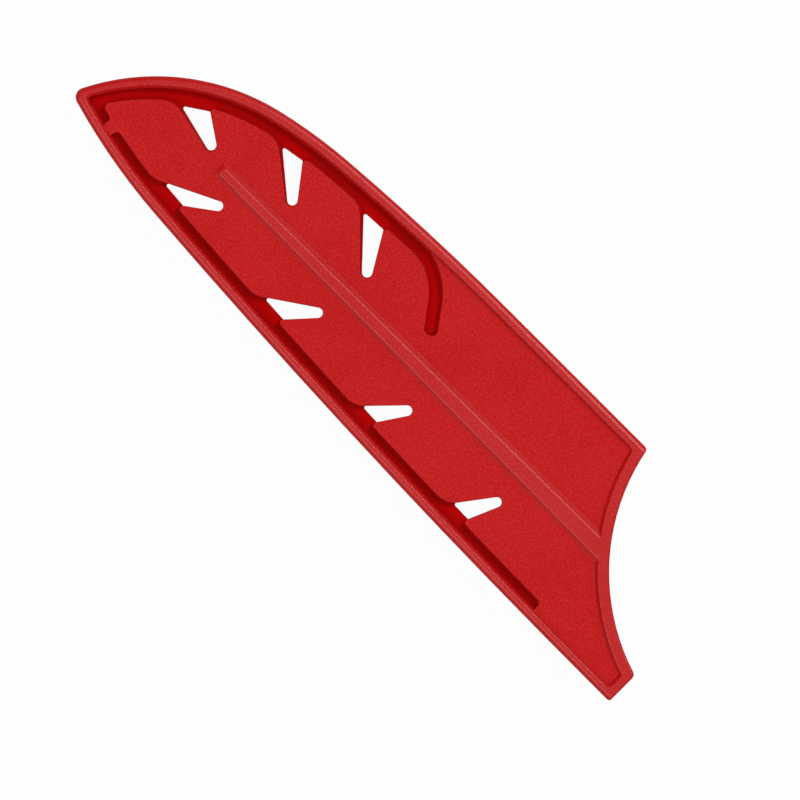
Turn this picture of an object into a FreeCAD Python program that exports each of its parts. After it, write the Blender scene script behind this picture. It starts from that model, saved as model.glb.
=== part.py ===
import FreeCAD, Part
import math
import os

# Blade guard: two mirrored moulded half shells that meet along the rim.
# While it is drawn, X runs from the tip towards the mouth, Y = 0 is the straight spine side with the
# cutting edge at negative Y, and Z = 0 is the plane where the halves meet. All lengths in millimetres.

# Outline of the guard
guard_length = 200.0
guard_width = 51.0
mouth_rake = 37.5
heel_depth = 9.1
mouth_radius = 53.9
nose_radius = 2.4
nose_rise = 14.1
spine_straight_start = 113.0
spine_sweep_radius = 686.0
spine_bend_start = 59.3
spine_bend_radius = 134.0
spine_drop_start = 38.8
edge_straight_run = 7.0
edge_sweep_radius = 2140.0
edge_drop_start = 35.2
spine_corner_round = 1.2
heel_corner_round = 1.5
edge_corner_round = 0.8

# Heights of one half, up from the meeting plane
crest_height = 4.4
panel_height = 3.6
pocket_height = 2.2
channel_height = 2.1
blade_gap = 2.6

# Rim and border
side_wall = 2.0
spine_rim = 3.15
edge_rim = 2.7
mouth_border = 3.4
heel_border = 2.9
rim_round = 1.5
rim_inner_bevel = 0.7
mouth_edge_bevel = 0.4
seam_bevel = 0.2
recess_tip_round = 0.9
recess_corner_round = 0.8
rim_ease = 1.2
panel_lap = 0.6

# Channel along the rim and the lobes beside it
spine_channel = 2.8
edge_channel = 2.2
channel_wall = 1.0
lobe_ease = 3.7
lobe_tip_round = 1.5
lobe_shoulder_round = 7.0
lobe_corner_round = 1.2
lobe_wall_run = 0.35
lobe_wall_root = 0.3
bridge_start = 9.3
bridge_width = 4.0
edge_channel_gap = 29.6
channel_end_round = 0.8
hook_gap = 8.94
hook_radius = 15.7
hook_turn = 56.0
hook_run = 8.1
hook_end_round = 1.1

# Drain slots: the two outer corners as shares of the length, the reach as a share of the width, and the lean
slot_end_radius = 1.3
slot_corner_radius = 0.45
slot_spine_inset = 6.9
slot_edge_inset = 6.65
slot_shelf = 0.7
slot_shelf_end = 0.1
slot_trim_share = 0.9
spine_slot_shares = [
    (0.0863, 0.1149, 0.1833, -22.3),
    (0.2253, 0.2515, 0.2171, -45.2),
    (0.3588, 0.3858, 0.2418, -52.2),
]
edge_slot_shares = [
    (0.1581, 0.1896, 0.2104, 29.9),
    (0.3475, 0.3773, 0.2020, 39.5),
    (0.5285, 0.5493, 0.1720, 50.3),
    (0.6933, 0.7149, 0.1702, 59.1),
]

# Centre rib
rib_start = 38.0
rib_offset = 0.4
rib_start_width = 4.0
rib_end_width = 6.3
rib_slope = 1.2
rib_nose_round = 1.4
rib_nose_share = 0.9
rib_root = 0.4

# Tongues of the front shell and their grooves in the back shell
tongue_width = 0.8
tongue_height = 0.8
tongue_clearance = 0.1
tongue_start = 44.0
tongue_end = 2.5

overrun = 5.0
pick_gap = 0.01


def flat(x, y):
    return FreeCAD.Vector(x, y, 0)


def turned(angle):
    return flat(math.cos(angle), math.sin(angle))


def line(start, end):
    return Part.LineSegment(start, end).toShape()


def arc(centre, start, end):
    middle = (start - centre).normalize() + (end - centre).normalize()
    return Part.Arc(start, centre + middle.normalize() * (start - centre).Length, end).toShape()


def prism(wire, low, high):
    solid = Part.Face(wire).extrude(FreeCAD.Vector(0, 0, high - low))
    solid.translate(FreeCAD.Vector(0, 0, low))
    return solid


def polygon(points):
    return Part.makePolygon(points + points[:1])


def rectangle(left, foot, right, top):
    return polygon([flat(left, foot), flat(right, foot), flat(right, top), flat(left, top)])


# The two sides of the outline are runs of tangent arcs that end on the circle of the nose.
def closing_radius(point, normal, centre, radius):
    gap = point - centre
    return (radius ** 2 - gap.Length ** 2) / (2 * (radius - gap.dot(normal)))


nose_drop = guard_width - nose_rise
nose_centre = flat(nose_radius, -nose_drop)

spine_sweep_centre = flat(spine_straight_start, -spine_sweep_radius)
spine_sweep_angle = math.pi / 2 + math.asin((spine_straight_start - spine_bend_start) / spine_sweep_radius)
spine_bend_normal = turned(spine_sweep_angle)
spine_bend_centre = spine_sweep_centre + spine_bend_normal * (spine_sweep_radius - spine_bend_radius)
spine_bend_angle = math.pi / 2 + math.asin((spine_bend_centre.x - spine_drop_start) / spine_bend_radius)
spine_drop_normal = turned(spine_bend_angle)
spine_drop_point = spine_bend_centre + spine_drop_normal * spine_bend_radius
spine_drop_radius = closing_radius(spine_drop_point, spine_drop_normal, nose_centre, nose_radius)
spine_drop_centre = spine_drop_point - spine_drop_normal * spine_drop_radius

edge_straight_start = guard_length - edge_straight_run
edge_sweep_centre = flat(edge_straight_start, edge_sweep_radius - guard_width)
edge_sweep_angle = -math.pi / 2 - math.asin((edge_straight_start - edge_drop_start) / edge_sweep_radius)
edge_drop_normal = turned(edge_sweep_angle)
edge_drop_point = edge_sweep_centre + edge_drop_normal * edge_sweep_radius
edge_drop_radius = closing_radius(edge_drop_point, edge_drop_normal, nose_centre, nose_radius)
edge_drop_centre = edge_drop_point - edge_drop_normal * edge_drop_radius

mouth_top = flat(guard_length - mouth_rake, 0)
mouth_foot = flat(guard_length, heel_depth - guard_width)
mouth_chord = mouth_foot - mouth_top
mouth_side = flat(-mouth_chord.y, mouth_chord.x).normalize()
mouth_rise = math.sqrt(mouth_radius ** 2 - (mouth_chord.Length / 2) ** 2)
mouth_centre = mouth_top + mouth_chord / 2 + mouth_side * mouth_rise


def circles_meet(first, first_radius, second, second_radius):
    span = second - first
    along = (first_radius ** 2 - second_radius ** 2 + span.Length ** 2) / (2 * span.Length)
    across = math.sqrt(first_radius ** 2 - along ** 2)
    span.normalize()
    side = flat(-span.y, span.x)
    ends = [first + span * along + side * across, first + span * along - side * across]
    return min(ends, key=lambda point: point.x)


# Where the sides, moved inwards, meet round the tip; the ease flattens the spine's arc before it
def tip_centre(spine_in, edge_in, tip_round, ease):
    drop_centre = spine_drop_centre - spine_drop_normal * ease
    return circles_meet(drop_centre, spine_drop_radius + ease - spine_in - tip_round,
                        edge_drop_centre, edge_drop_radius - edge_in - tip_round)


# Closed outline with each side moved inwards by its own amount
def outline(spine_in, edge_in, mouth_in, heel_in, tip_round, ease=0):
    drop_centre = spine_drop_centre - spine_drop_normal * ease
    sweep_start = flat(spine_straight_start, -spine_in)
    bend_start = spine_sweep_centre + spine_bend_normal * (spine_sweep_radius - spine_in)
    drop_start = spine_bend_centre + spine_drop_normal * (spine_bend_radius - spine_in)
    tip = tip_centre(spine_in, edge_in, tip_round, ease)
    tip_top = tip + (tip - drop_centre).normalize() * tip_round
    tip_foot = tip + (tip - edge_drop_centre).normalize() * tip_round
    edge_drop = edge_sweep_centre + edge_drop_normal * (edge_sweep_radius - edge_in)
    edge_sweep = flat(edge_straight_start, edge_in - guard_width)
    heel = flat(guard_length - heel_in, edge_in - guard_width)
    reach = mouth_radius + mouth_in
    foot_drop = math.sqrt(reach ** 2 - (heel.x - mouth_centre.x) ** 2)
    foot = flat(heel.x, mouth_centre.y - foot_drop)
    top_run = math.sqrt(reach ** 2 - (mouth_centre.y + spine_in) ** 2)
    top = flat(mouth_centre.x - top_run, -spine_in)
    return Part.Wire([
        line(top, sweep_start),
        arc(spine_sweep_centre, sweep_start, bend_start),
        arc(spine_bend_centre, bend_start, drop_start),
        arc(drop_centre, drop_start, tip_top),
        arc(tip, tip_top, tip_foot),
        arc(edge_drop_centre, tip_foot, edge_drop),
        arc(edge_sweep_centre, edge_drop, edge_sweep),
        line(edge_sweep, heel),
        line(heel, foot),
        arc(mouth_centre, foot, top),
    ])


# Closed line around three round corners, given in turn
def hull(corners):
    edges = []
    last = None
    count = len(corners)
    for index in range(count + 1):
        centre, radius = corners[index % count]
        next_centre, next_radius = corners[(index + 1) % count]
        span = next_centre - centre
        lean = math.asin((radius - next_radius) / span.Length)
        normal = turned(math.atan2(span.y, span.x) - math.pi / 2 + lean)
        if last is not None:
            edges.append(arc(centre, last, centre + normal * radius))
        if index < count:
            edges.append(line(centre + normal * radius, next_centre + normal * next_radius))
        last = next_centre + normal * next_radius
    return Part.Wire(edges)


def edges_where(solid, test):
    return [edge for edge in solid.Edges if test(edge)]


def is_upright(edge):
    box = edge.BoundBox
    return box.XLength < pick_gap and box.YLength < pick_gap


def is_level(edge, height):
    box = edge.BoundBox
    return box.ZLength < pick_gap and abs(box.ZMax - height) < pick_gap


def upright_near(solid, point):
    def gap(edge):
        return math.hypot(edge.CenterOfMass.x - point.x, edge.CenterOfMass.y - point.y)
    return min(edges_where(solid, is_upright), key=gap)


slot_trim = slot_trim_share * slot_corner_radius

# Each side from the mouth towards the tip: its straight run, then its arcs with the station where each ends.
# The shelf is what a slot's tip side leaves free beside it, at the channel and at the slot's inner end.
spine_side = {
    "sign": 1,
    "level": 0,
    "shelf": slot_shelf,
    "shelf_end": slot_shelf_end,
    "straight_start": spine_straight_start,
    "arcs": [
        (spine_bend_start, spine_sweep_centre, spine_sweep_radius),
        (spine_drop_start, spine_bend_centre, spine_bend_radius),
        (0, spine_drop_centre, spine_drop_radius),
    ],
}
edge_side = {
    "sign": -1,
    "level": -guard_width,
    "shelf": -slot_trim,
    "shelf_end": -slot_trim,
    "straight_start": edge_straight_start,
    "arcs": [
        (edge_drop_start, edge_sweep_centre, edge_sweep_radius),
        (0, edge_drop_centre, edge_drop_radius),
    ],
}


def side_frame(side, station):
    if station >= side["straight_start"]:
        return flat(station, side["level"]), flat(0, side["sign"])
    for end, centre, radius in side["arcs"]:
        if station >= end:
            slope = (station - centre.x) / radius
            normal = flat(slope, side["sign"] * math.sqrt(1 - slope ** 2))
            return centre + normal * radius, normal


def inset_point(side, station, inset):
    point, normal = side_frame(side, station)
    return point - normal * inset


# One slot: its two corners by the channel, and the centre of its round inner end
def slot_places(side, inset, shares):
    tip_share, heel_share, reach_share, lean = shares
    tip = inset_point(side, guard_length * tip_share, inset + slot_corner_radius)
    heel = inset_point(side, guard_length * heel_share, inset + slot_corner_radius)
    end = (tip + heel) / 2 + turned(math.radians(lean)) * (guard_width * reach_share)
    return side, tip, heel, end


def slot_line(side, tip, heel, end):
    return hull([tip, end, heel] if side["sign"] > 0 else [tip, heel, end])


# Directions at a slot, out along its tip side and its heel side and square to each
def slot_runs(slot):
    side, tip, heel, end = slot
    tip_run = (tip - end).normalize()
    heel_run = (heel - end).normalize()
    tip_away = flat(-tip_run.y, tip_run.x) * side["sign"]
    heel_away = flat(heel_run.y, -heel_run.x) * side["sign"]
    return tip_run, heel_run, tip_away, heel_away


def slot_hole(slot):
    side, tip, heel, end = slot
    return slot_line(side, (tip, slot_corner_radius), (heel, slot_corner_radius), (end, slot_end_radius))


# A slot's corner moved out along the slot's own side, whose radii shrink towards the corner
def corner_beyond(corner, end, run, away):
    lean = math.asin((slot_end_radius - slot_corner_radius) / (corner - end).Length)
    return corner + (run * math.cos(lean) - away * math.sin(lean)) * overrun


# On the spine side a shelf at the level of the channel runs along the tip side of each slot.
# Everywhere else the lobes reach into the slot, so that the slot itself cuts their edge.
def slot_notch(slot):
    side, tip, heel, end = slot
    tip_run, heel_run, tip_away, heel_away = slot_runs(slot)
    notch_end = end + tip_away * ((side["shelf_end"] + slot_trim) / 2)
    return slot_line(side,
                     (corner_beyond(tip, end, tip_run, tip_away), slot_corner_radius + side["shelf"]),
                     (corner_beyond(heel, end, heel_run, heel_away), slot_corner_radius - slot_trim),
                     (notch_end, slot_end_radius + (side["shelf_end"] - slot_trim) / 2))


# Inside the pocket a straight-sided collar surrounds each notch
def slot_collar(slot):
    side, tip, heel, end = slot
    tip_run, heel_run, tip_away, heel_away = slot_runs(slot)
    inward = (tip_run + heel_run).normalize() * -1
    tip_wall = slot_shelf + channel_wall
    stop = slot_end_radius + tip_wall
    tip_end = end + tip_away * (slot_end_radius + tip_wall)
    heel_end = end + heel_away * slot_end_radius
    tip_far = tip_end - tip_run * ((stop - (tip_end - end).dot(inward)) / -tip_run.dot(inward))
    heel_far = heel_end - heel_run * ((stop - (heel_end - end).dot(inward)) / -heel_run.dot(inward))
    tip_near = tip + tip_run * overrun + tip_away * (slot_corner_radius + tip_wall)
    heel_near = heel + heel_run * overrun + heel_away * slot_corner_radius
    return polygon([tip_near, tip_far, heel_far, heel_near])


slots = [slot_places(spine_side, slot_spine_inset, shares) for shares in spine_slot_shares]
slots += [slot_places(edge_side, slot_edge_inset, shares) for shares in edge_slot_shares]
last_slot_share = spine_slot_shares[-1][1]
hook_start = guard_length * last_slot_share + hook_gap
edge_channel_end = guard_length - edge_channel_gap


# The spine channel leaves the rim in an arc and ends in the panel.
def hook_line(grow):
    half = spine_channel / 2 + grow
    corner = hook_end_round + grow
    start, normal = side_frame(spine_side, hook_start)
    pivot = start - normal * (spine_rim + spine_channel / 2 + hook_radius)
    turn = math.atan2(normal.y, normal.x) - math.radians(hook_turn)
    end_normal = turned(turn)
    run = flat(end_normal.y, -end_normal.x)
    outer = pivot + end_normal * (hook_radius + half)
    inner = pivot + end_normal * (hook_radius - half)
    length = hook_run + grow
    outer_round = outer + run * (length - corner) - end_normal * corner
    inner_round = inner + run * (length - corner) + end_normal * corner
    outer_start = pivot + normal * (hook_radius + half)
    inner_start = pivot + normal * (hook_radius - half)
    return Part.Wire([
        arc(pivot, outer_start, outer),
        line(outer, outer_round + end_normal * corner),
        arc(outer_round, outer_round + end_normal * corner, outer_round + run * corner),
        line(outer_round + run * corner, inner_round + run * corner),
        arc(inner_round, inner_round + run * corner, inner_round - end_normal * corner),
        line(inner_round - end_normal * corner, inner),
        arc(pivot, inner, inner_start),
        line(inner_start, outer_start),
    ])


def lobe_line(grow):
    return outline(spine_rim + spine_channel + grow, edge_rim + edge_channel + grow,
                   -overrun, -overrun, lobe_tip_round, lobe_ease)


def lobe_tip(grow):
    return tip_centre(spine_rim + spine_channel + grow, edge_rim + edge_channel + grow,
                      lobe_tip_round, lobe_ease)


# Areas that the channel is kept to: spine side with the tip, and edge side beyond the bridge
def bridge_line(station, grow):
    lobe_depth = edge_rim + edge_channel + lobe_tip_round + grow
    return [inset_point(edge_side, station, lobe_depth), inset_point(edge_side, station, -overrun)]


def spine_reach(grow):
    start, normal = side_frame(spine_side, hook_start)
    return polygon([
        start + normal * overrun,
        start - normal * (spine_rim + spine_channel + overrun),
    ] + bridge_line(bridge_start + grow, grow) + [
        flat(-overrun, -guard_width - overrun),
        flat(-overrun, overrun),
    ])


def edge_reach(grow):
    end = edge_channel_end + grow
    return polygon(bridge_line(bridge_start + bridge_width - grow, grow) + [
        flat(end, -guard_width - overrun),
        flat(end, lobe_tip(grow).y),
    ])


# Panel with its lobes: the base area less the channel, the hook and the notches at the slots
def lobed_panel(base, grow, notches, low, high):
    core = prism(lobe_line(grow), low - overrun, high + overrun)
    panel = prism(base, low, high)
    for reach in (spine_reach(grow), edge_reach(grow)):
        panel = panel.cut(prism(reach, low - overrun, high + overrun).cut(core))
    for wire in [hook_line(grow)] + notches:
        panel = panel.cut(prism(wire, low - overrun, high + overrun))
    return panel


def crossing_uprights(solid, first, second):
    places = []
    for edge in edges_where(solid, is_upright):
        place = flat(edge.CenterOfMass.x, edge.CenterOfMass.y)
        spot = Part.Vertex(place)
        if spot.distToShape(first)[0] < pick_gap and spot.distToShape(second)[0] < pick_gap:
            places.append(place)
    return min(places, key=lambda place: place.x), max(places, key=lambda place: place.x)


def round_uprights(solid, places, radius):
    return solid.makeFillet(radius, [upright_near(solid, place) for place in places])


# Rounds where the wall of the lobes turns: at the notches, at the bridge and at the channel's end
def soften_lobes(panel, notches):
    lobes = lobe_line(0)
    turns = [crossing_uprights(panel, lobes, notch) for notch in notches]
    stations = (bridge_start, bridge_start + bridge_width, edge_channel_end)
    bends = [inset_point(edge_side, station, edge_rim + edge_channel) for station in stations]
    panel = round_uprights(panel, [shoulder for shoulder, corner in turns], lobe_shoulder_round)
    panel = round_uprights(panel, [corner for shoulder, corner in turns], lobe_corner_round)
    return round_uprights(panel, bends, channel_end_round)


def inside_line(wire):
    def test(edge):
        middle = edge.valueAt((edge.FirstParameter + edge.LastParameter) / 2)
        middle.z = wire.BoundBox.ZMin
        return Part.Vertex(middle).distToShape(wire)[0] > pick_gap
    return test


def on_line(wire):
    inside = inside_line(wire)
    return lambda edge: not inside(edge)


def level_edges(solid, height, test):
    return edges_where(solid, lambda edge: is_level(edge, height) and test(edge))


# Block of the rim: large rounds along both sides, a small bevel round the mouth and the heel,
# and a fine bevel all round where the halves meet
def rim_block():
    sides = outline(0, 0, -overrun, -overrun, nose_radius)
    long_block = prism(sides, 0, crest_height)
    side_edge = on_line(outline(0, 0, -2 * overrun, -2 * overrun, nose_radius))
    long_block = long_block.makeFillet(rim_round, level_edges(long_block, crest_height, side_edge))
    block = prism(outline(0, 0, 0, 0, nose_radius), 0, crest_height)
    block = round_uprights(block, [mouth_top], spine_corner_round)
    block = round_uprights(block, [mouth_foot], heel_corner_round)
    block = round_uprights(block, [flat(guard_length, -guard_width)], edge_corner_round)
    block = block.makeChamfer(mouth_edge_bevel, level_edges(block, crest_height, lambda edge: True))
    block = block.makeChamfer(seam_bevel, level_edges(block, 0, lambda edge: True))
    return block.common(long_block)


# Tray: the rim with its inner edge bevelled, and a floor at the level of the channel
def tray():
    recess = outline(spine_rim, edge_rim, mouth_border, heel_border, recess_tip_round, rim_ease)
    hollow = prism(recess, channel_height, crest_height + overrun)
    corners = [flat(border_reach(-spine_rim, mouth_border), -spine_rim),
               flat(guard_length - heel_border, edge_rim - guard_width)]
    hollow = round_uprights(hollow, corners, recess_corner_round)
    body = rim_block().cut(hollow)
    inner = on_line(hollow.slice(FreeCAD.Vector(0, 0, 1), crest_height)[0])
    return body.makeChamfer(rim_inner_bevel, level_edges(body, crest_height, inner))


# How far the mouth, moved in by an inset, lies from the tip at a given depth
def border_reach(depth, inset):
    return mouth_centre.x - math.sqrt((mouth_radius + inset) ** 2 - (depth - mouth_centre.y) ** 2)


rib_depth = guard_width / 2 + rib_offset


# Rib: a tapered ridge with sloped flanks and a rounded front, which runs into the border of the mouth
def rib_line(slope, height):
    start = rib_start + slope
    top_start = rib_start_width / 2 - rib_depth - slope
    top_end = rib_end_width / 2 - rib_depth - slope
    foot_start = -rib_start_width / 2 - rib_depth + slope
    foot_end = -rib_end_width / 2 - rib_depth + slope
    lap = mouth_border / 2
    corner = min(rib_nose_round - slope / 2, rib_nose_share * (rib_start_width / 2 - slope))
    points = [flat(border_reach(top_end, lap), top_end), flat(start + corner, top_start),
              flat(start, top_start - corner), flat(start, foot_start + corner),
              flat(start + corner, foot_start), flat(border_reach(foot_end, lap), foot_end)]
    top_pivot = flat(start + corner, top_start - corner)
    foot_pivot = flat(start + corner, foot_start + corner)
    wire = Part.Wire([
        line(points[0], points[1]),
        arc(top_pivot, points[1], points[2]),
        line(points[2], points[3]),
        arc(foot_pivot, points[3], points[4]),
        line(points[4], points[5]),
        line(points[5], points[0]),
    ])
    wire.translate(FreeCAD.Vector(0, 0, height))
    return wire


def rib():
    foot_lines = [rib_line(0, height) for height in (panel_height - rib_root, panel_height)]
    return Part.makeLoft(foot_lines + [rib_line(rib_slope, crest_height)], True, True)


# One half: tray, panel and rib in one moulding, hollow below for the blade
def half_shell():
    base = outline(spine_rim - panel_lap, edge_rim - panel_lap, mouth_border - panel_lap,
                   heel_border - panel_lap, recess_tip_round, rim_ease)
    notches = [slot_notch(slot) for slot in slots]
    panel = soften_lobes(lobed_panel(base, 0, notches, blade_gap / 2, panel_height), notches)
    wall_fall = panel_height - channel_height + lobe_wall_root
    panel = panel.makeChamfer(wall_fall, lobe_wall_run, level_edges(panel, panel_height, inside_line(base)))
    shell = tray().fuse([panel, rib()])
    pocket_line = outline(side_wall, side_wall, -overrun, -overrun, recess_tip_round)
    shell = shell.cut(prism(pocket_line, -overrun, blade_gap / 2))
    collars = [slot_collar(slot) for slot in slots]
    shell = shell.cut(lobed_panel(pocket_line, channel_wall, collars, -overrun, pocket_height))
    for slot in slots:
        shell = shell.cut(prism(slot_hole(slot), -overrun, crest_height + overrun))
    return shell.removeSplitter()


# Tongues along both sides of the rim behind the tip; a clearance makes them the grooves that take them
def tongues(clearance, depth):
    middle = side_wall / 2
    half = tongue_width / 2 + clearance
    start = tongue_start - clearance
    stop = tongue_end - clearance
    bars = prism(outline(middle - half, middle - half, stop, stop, recess_tip_round), -depth, 0)
    inner = outline(middle + half, middle + half, -overrun, -overrun, recess_tip_round)
    tip = rectangle(-overrun, -guard_width - overrun, start, overrun)
    for wire in (inner, tip):
        bars = bars.cut(prism(wire, -depth - overrun, overrun))
    return bars


def placed(shape):
    shape.translate(FreeCAD.Vector(-guard_length / 2, guard_width / 2, crest_height))
    return shape


half = half_shell()
front_shell = half.fuse(tongues(0, tongue_height)).removeSplitter()
back_shell = half.mirror(FreeCAD.Vector(0, 0, 0), FreeCAD.Vector(0, 0, 1))
back_shell = back_shell.cut(tongues(tongue_clearance, tongue_height + tongue_clearance))

os.makedirs("parts", exist_ok=True)
for name, shape in (("front_shell", front_shell), ("back_shell", back_shell)):
    placed(shape.Solids[0]).exportStep("parts/" + name + ".step")
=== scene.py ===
import math

import bmesh
import bpy
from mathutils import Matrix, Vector


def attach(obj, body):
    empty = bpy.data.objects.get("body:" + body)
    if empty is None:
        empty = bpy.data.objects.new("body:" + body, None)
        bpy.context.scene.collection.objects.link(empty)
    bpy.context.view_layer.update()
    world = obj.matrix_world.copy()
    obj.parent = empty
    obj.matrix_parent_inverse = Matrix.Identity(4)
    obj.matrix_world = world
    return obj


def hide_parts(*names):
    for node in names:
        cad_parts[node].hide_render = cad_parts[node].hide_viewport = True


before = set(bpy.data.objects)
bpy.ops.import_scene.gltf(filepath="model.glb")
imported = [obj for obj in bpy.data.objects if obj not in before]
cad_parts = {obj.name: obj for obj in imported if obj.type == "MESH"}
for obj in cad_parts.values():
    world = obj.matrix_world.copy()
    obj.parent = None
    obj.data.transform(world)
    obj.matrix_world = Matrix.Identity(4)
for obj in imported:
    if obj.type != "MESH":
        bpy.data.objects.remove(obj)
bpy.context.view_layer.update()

print("guard: frame loaded,", len(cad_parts), "nodes")


# wraps a shader socket so that masks and mixes read as sums
class Wire:
    def __init__(self, tree, socket):
        self.tree = tree
        self.socket = socket

    def node(self, kind, settings=None, sockets=None, out=0):
        made = self.tree.nodes.new(kind)
        for name, value in (settings or {}).items():
            setattr(made, name, value)
        for name, value in (sockets or {}).items():
            if isinstance(value, Wire):
                self.tree.links.new(value.socket, made.inputs[name])
            else:
                made.inputs[name].default_value = value
        return Wire(self.tree, made.outputs[out])

    def math(self, operation, first, second):
        return self.node("ShaderNodeMath", {"operation": operation}, {0: first, 1: second})

    # sockets 6 and 7 hold the two colours, and output 2 the mixed one
    def mix(self, share, first, second):
        return self.node("ShaderNodeMix", {"data_type": "RGBA"},
                         {"Factor": share, 6: first, 7: second}, out=2)

    def ramp(self, value, span, curve="LINEAR"):
        return self.node("ShaderNodeMapRange", {"interpolation_type": curve},
                         {"Value": value, "From Min": span[0], "From Max": span[1]})

    def __add__(self, other):
        return self.math("ADD", self, other)

    def __radd__(self, other):
        return self.math("ADD", other, self)

    def __sub__(self, other):
        return self.math("SUBTRACT", self, other)

    def __rsub__(self, other):
        return self.math("SUBTRACT", other, self)

    def __mul__(self, other):
        return self.math("MULTIPLY", self, other)

    def __rmul__(self, other):
        return self.math("MULTIPLY", other, self)


def newMaterial(name):
    material = bpy.data.materials.new(name)
    material.use_nodes = True
    material.node_tree.nodes.clear()
    start = Wire(material.node_tree, None)
    finish = material.node_tree.nodes.new("ShaderNodeOutputMaterial")
    return material, start, finish.inputs["Surface"]


# moulded red plastic: spark-eroded grain on the raised faces, smooth in the channels and the pocket
redPlastic = {
    "panel": (0.448, 0.0021, 0.0025, 1.0),
    "speck": (0.600, 0.0200, 0.0210, 1.0),  # lighter crowns of the grain
    "footShade": (0.415, 0.0013, 0.0016, 1.0),  # painted shade on the panel close to the foot of the rib and of the rim
    "crest": (0.455, 0.0004, 0.0006, 1.0),
    # darker red for the channels and the pocket: painted shade of the recesses
    "channel": (0.385, 0.0004, 0.0005, 1.0),
    "middle": 0.0044,  # height of the plane where the halves meet
    "channelTop": (0.0024, 0.0033),  # away from that plane, where the grain starts and is full
    "crestTop": (0.0042, 0.0044),
    "wallTilt": 0.2,  # squared lift of a face's normal below which it counts as a wall
    "nookReach": 0.0030,
    "nookRange": (0.72, 0.98),  # openness of a spot, from full painted shade to none
    "nookSamples": 8,
    "cloudSize": 55.0,  # cells per metre
    "cloudDetail": 3.0,
    "cloudShare": 0.4,  # of the speckle
    "channelCloud": 0.3,
    "grainSize": 2600.0,
    "grainDetail": 2.0,
    "grainHeight": 0.00009,
    "grainStrength": 0.5,
    "pitShare": 0.3,  # of the grain's height
    "pitsPerGrain": 0.5,
    "crownRange": (0.42, 0.66),  # grain heights that start and finish a light crown
    "crownShare": 0.7,
    "glossSpread": 0.10,
    "bend": 1.49,  # refractive index
    "edgeSamples": 12,
    "panelSkin": {"gloss": 0.45, "shine": 0.15, "edgeRound": 0.00035},
    "crestSkin": {"gloss": 0.33, "shine": 0.46, "edgeRound": 0.00030},
    "channelSkin": {"gloss": 0.24, "shine": 0.03, "edgeRound": 0.00035},
}


def mouldedPlastic(name, values):
    material, wire, surface = newMaterial(name)
    place = wire.node("ShaderNodeTexCoord", out="Object")
    level = wire.node("ShaderNodeSeparateXYZ", {}, {0: place}, out="Z")
    depth = wire.node("ShaderNodeMath", {"operation": "ABSOLUTE"}, {0: level - values["middle"]})
    raised = wire.ramp(depth, values["channelTop"], "SMOOTHSTEP")
    crest = wire.ramp(depth, values["crestTop"], "SMOOTHSTEP")
    normal = wire.node("ShaderNodeTexCoord", out="Normal")
    lift = wire.node("ShaderNodeSeparateXYZ", {}, {0: normal}, out="Z")
    wall = wire.math("LESS_THAN", lift * lift, values["wallTilt"])
    raised = wire.math("MAXIMUM", raised, wall)  # the outer walls are grained too
    cloud = wire.node("ShaderNodeTexNoise", {}, {
        "Vector": place, "Scale": values["cloudSize"], "Detail": values["cloudDetail"],
    })
    grain = wire.node("ShaderNodeTexNoise", {}, {
        "Vector": place, "Scale": values["grainSize"], "Detail": values["grainDetail"],
    })
    pits = wire.node("ShaderNodeTexVoronoi", {"feature": "F1"}, {
        "Vector": place, "Scale": values["grainSize"] * values["pitsPerGrain"],
    })
    crown = wire.ramp(grain, values["crownRange"])
    # ambient occlusion paints shade into the panel's colour near the feet of the rib and of the rim
    free = wire.node("ShaderNodeAmbientOcclusion", {"samples": values["nookSamples"]},
                     {"Distance": values["nookReach"]}, out="AO")
    clear = wire.ramp(free, values["nookRange"])
    speckle = crown * values["crownShare"] + (cloud - 0.5) * values["cloudShare"]  # cloud about zero
    plain = wire.mix(clear, values["footShade"], values["panel"])
    height = (grain * (1.0 - values["pitShare"]) + pits * values["pitShare"]) * raised
    uneven = (cloud + grain - 1.0) * values["glossSpread"]

    def skin(colour, finish):
        edge = wire.node("ShaderNodeBevel", {"samples": values["edgeSamples"]},
                         {"Radius": finish["edgeRound"]})
        bump = wire.node("ShaderNodeBump", {}, {
            "Height": height, "Strength": values["grainStrength"],
            "Distance": values["grainHeight"], "Normal": edge,
        })
        return wire.node("ShaderNodeBsdfPrincipled", {}, {
            "Base Color": colour, "Roughness": uneven + finish["gloss"], "Normal": bump,
            "IOR": values["bend"], "Specular IOR Level": finish["shine"],
        })

    flat = skin(wire.mix(speckle * clear, plain, values["speck"]), values["panelSkin"])
    top = skin(wire.mix(speckle, values["crest"], values["speck"]), values["crestSkin"])
    haze = cloud * values["channelCloud"]
    # the channels take the darker channel red, which is painted shade
    smooth = skin(wire.mix(haze, values["channel"], values["panel"]), values["channelSkin"])
    grained = wire.node("ShaderNodeMixShader", {}, {0: crest, 1: flat, 2: top})
    both = wire.node("ShaderNodeMixShader", {}, {0: raised, 1: smooth, 2: grained})
    material.node_tree.links.new(both.socket, surface)
    return material


frontRed = mouldedPlastic("front_red_plastic", redPlastic)
backRed = mouldedPlastic("back_red_plastic", redPlastic)
print("guard: plastics mixed")


# each shell is a merged copy of its solid, smooth over the rounds and crisp where the mould turns
shellSkin = {
    "mergeGap": 0.000004,
    "turnAngle": 24.0,  # degrees past which an edge stays crisp
    "flatWeight": 80,  # how far the large flats rule the shading
}


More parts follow.
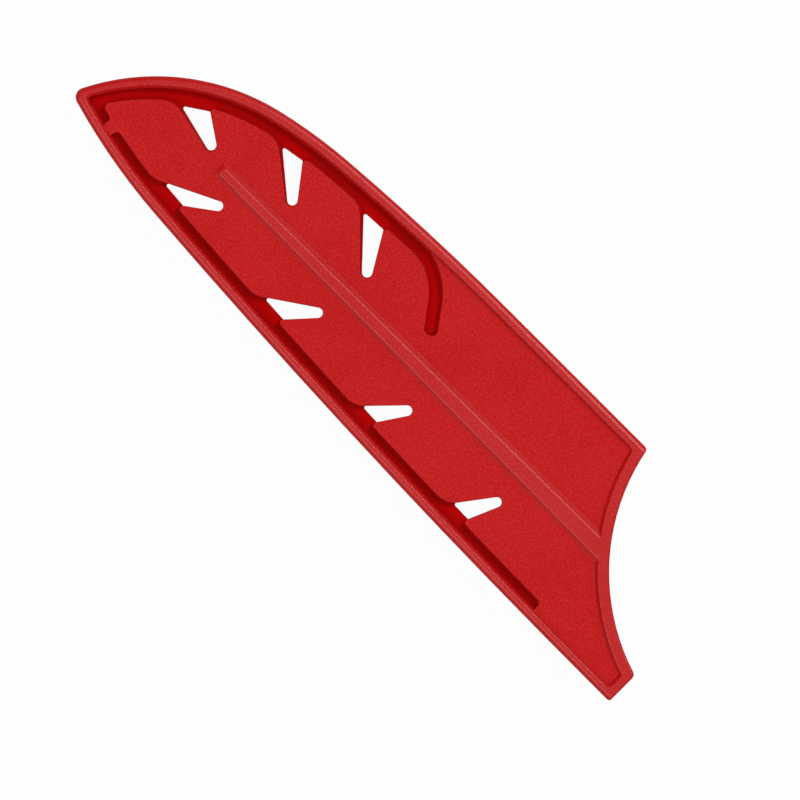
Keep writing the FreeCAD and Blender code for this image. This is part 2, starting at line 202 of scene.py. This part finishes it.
def shellCopy(node, name, material, values):
    work = bmesh.new()
    work.from_mesh(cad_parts[node].data)
    bmesh.ops.remove_doubles(work, verts=work.verts, dist=values["mergeGap"])
    work.verts.index_update()
    mesh = bpy.data.meshes.new(name + "_rough")
    mesh.from_pydata([tuple(vert.co) for vert in work.verts], [],
                     [[vert.index for vert in face.verts] for face in work.faces])
    work.free()
    mesh.shade_smooth()
    mesh.set_sharp_from_angle(angle=math.radians(values["turnAngle"]))
    rough = bpy.data.objects.new(name + "_rough", mesh)
    bpy.context.scene.collection.objects.link(rough)
    even = rough.modifiers.new("flats", "WEIGHTED_NORMAL")
    even.mode = "FACE_AREA"
    even.weight = values["flatWeight"]
    even.keep_sharp = True
    bpy.context.view_layer.update()
    graph = bpy.context.evaluated_depsgraph_get()
    done = bpy.data.meshes.new_from_object(rough.evaluated_get(graph), depsgraph=graph)
    bpy.data.objects.remove(rough)
    shell = bpy.data.objects.new(name, done)
    bpy.context.scene.collection.objects.link(shell)
    done.materials.clear()
    done.materials.append(material)
    return shell


for node, name, material, slotName in (
    ("front_shell", "front_shell_moulding", frontRed, "front_plastic"),
    ("back_shell", "back_shell_moulding", backRed, "back_plastic"),
):
    shell = shellCopy(node, name, material, shellSkin)
    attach(shell, "root")
    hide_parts(node)
    print("guard:", name, "has", len(shell.data.polygons), "faces")


# pale floor: white to the eye, and still a plain surface that takes the guard's shadow
floorSheet = {"size": 12.0, "drop": 0.00005, "ownLight": 0.97, "colour": (0.70, 0.70, 0.70, 1.0)}


def paleFloor(values):
    material, wire, surface = newMaterial("pale_floor")
    path = material.node_tree.nodes.new("ShaderNodeLightPath")
    seen = [Wire(material.node_tree, path.outputs[name])
            for name in ("Is Camera Ray", "Is Transmission Ray")]
    anySeen = wire.node("ShaderNodeMath", {"operation": "ADD", "use_clamp": True}, {0: seen[0], 1: seen[1]})
    paint = wire.node("ShaderNodeBsdfDiffuse", {}, {"Color": values["colour"]})
    glow = wire.node("ShaderNodeEmission", {}, {"Color": (1.0, 1.0, 1.0, 1.0), "Strength": 1.0})
    mixed = wire.node("ShaderNodeMixShader", {}, {0: anySeen * values["ownLight"], 1: paint, 2: glow})
    material.node_tree.links.new(mixed.socket, surface)
    mesh = bpy.data.meshes.new("floor_sheet")
    half = values["size"] / 2
    low = -values["drop"]
    mesh.from_pydata([(-half, -half, low), (half, -half, low), (half, half, low), (-half, half, low)],
                     [], [(0, 1, 2, 3)])
    mesh.materials.append(material)
    floor = bpy.data.objects.new("floor_sheet", mesh)
    bpy.context.scene.collection.objects.link(floor)


paleFloor(floorSheet)


# studio: a room that is brightest overhead, and a wide soft lamp on each long side of the guard
roomLight = {"overhead": 0.50, "sides": 0.10, "seen": 1.0}
studioLamps = [
    {"name": "spine_lamp", "place": (0.15, 1.20, 1.20), "size": 0.85, "power": 20.5},
    {"name": "edge_lamp", "place": (-0.15, -1.25, 1.15), "size": 1.50, "power": 15.0},
]


def studioLight(room, lamps):
    world = bpy.data.worlds.new("studio_room")
    world.use_nodes = True
    tree = world.node_tree
    tree.nodes.clear()
    wire = Wire(tree, None)
    path = tree.nodes.new("ShaderNodeLightPath")
    camera = Wire(tree, path.outputs["Is Camera Ray"])
    aim = wire.node("ShaderNodeTexCoord", out="Generated")
    rise = wire.node("ShaderNodeSeparateXYZ", {}, {0: aim}, out="Z")
    sides, overhead, seen = [
        wire.node("ShaderNodeBackground", {}, {"Color": (1.0, 1.0, 1.0, 1.0), "Strength": room[part]})
        for part in ("sides", "overhead", "seen")
    ]
    even = wire.node("ShaderNodeMixShader", {}, {0: rise * rise, 1: sides, 2: overhead})
    mixed = wire.node("ShaderNodeMixShader", {}, {0: camera, 1: even, 2: seen})
    finish = tree.nodes.new("ShaderNodeOutputWorld")
    tree.links.new(mixed.socket, finish.inputs["Surface"])
    bpy.context.scene.world = world
    for lamp in lamps:
        light = bpy.data.lights.new(lamp["name"], "AREA")
        light.shape = "DISK"
        light.size = lamp["size"]
        light.energy = lamp["power"]
        holder = bpy.data.objects.new(lamp["name"], light)
        holder.location = lamp["place"]
        holder.rotation_euler = (-Vector(lamp["place"])).to_track_quat("-Z", "Y").to_euler()
        holder.visible_camera = False
        bpy.context.scene.collection.objects.link(holder)


studioLight(roomLight, studioLamps)
bpy.context.scene.view_settings.view_transform = "Standard"
print("guard: floor and lamps set")


# straight down on the guard, which lies slanted across the frame
cameraView = {
    "lens": 400.0,
    "sensor": 36.0,
    "frame": 0.1982,  # width of the picture at the guard
    "aim": (0.01057, -0.00931, 0.0072),
    "turn": 45.0,
    "sight": 20.0,
}


def setCamera(values):
    data = bpy.data.cameras.new("studio_camera")
    data.lens = values["lens"]
    data.sensor_width = values["sensor"]
    data.clip_end = values["sight"]
    camera = bpy.data.objects.new("studio_camera", data)
    distance = values["frame"] * values["lens"] / values["sensor"]
    camera.location = Vector(values["aim"]) + Vector((0, 0, distance))
    camera.rotation_euler = (0, 0, math.radians(values["turn"]))
    bpy.context.scene.collection.objects.link(camera)
    bpy.context.scene.camera = camera


setCamera(cameraView)
print("guard: camera set")
